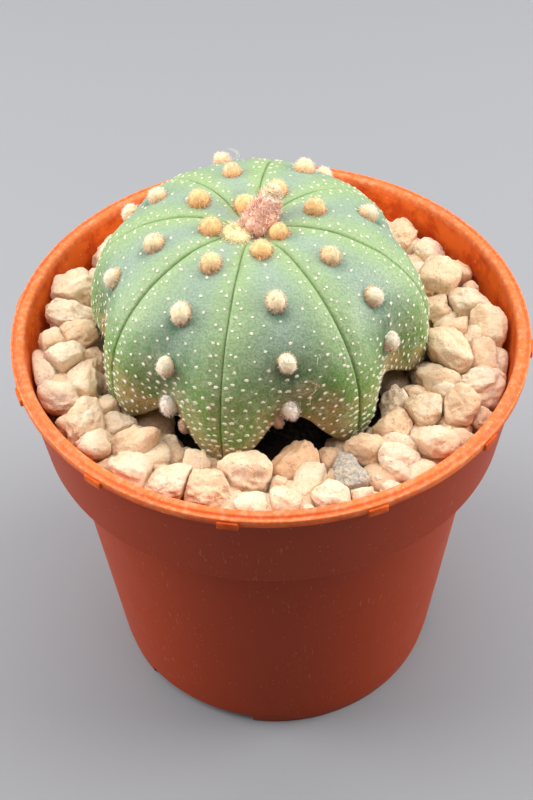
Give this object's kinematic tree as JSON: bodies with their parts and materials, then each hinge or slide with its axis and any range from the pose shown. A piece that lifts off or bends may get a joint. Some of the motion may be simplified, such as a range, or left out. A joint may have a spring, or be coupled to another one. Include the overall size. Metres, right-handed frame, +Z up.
{
  "type": "potted star cactus",
  "caption": "Ribbed dome of a star cactus with wool tufts and a faded flower, standing in gravel in a round plastic nursery pot.",
  "frame": {"origin": "on the surface that the pot stands on, at the pot's axis", "axes": "+Z up along the pot's axis, -Y towards the viewer of the picture, +X to the viewer's right"},
  "size_m": [0.086, 0.086, 0.1007],
  "materials": {
    "pot": "satin",
    "soil": "matte",
    "gravel": "matte",
    "cactus": "satin",
    "flower_remnant": "matte"
  },
  "bodies": {
    "root": {"pot": "pot", "soil": "soil", "gravel": "gravel", "cactus": "cactus", "flower_remnant": "flower_remnant"}
  },
  "joints": []
}
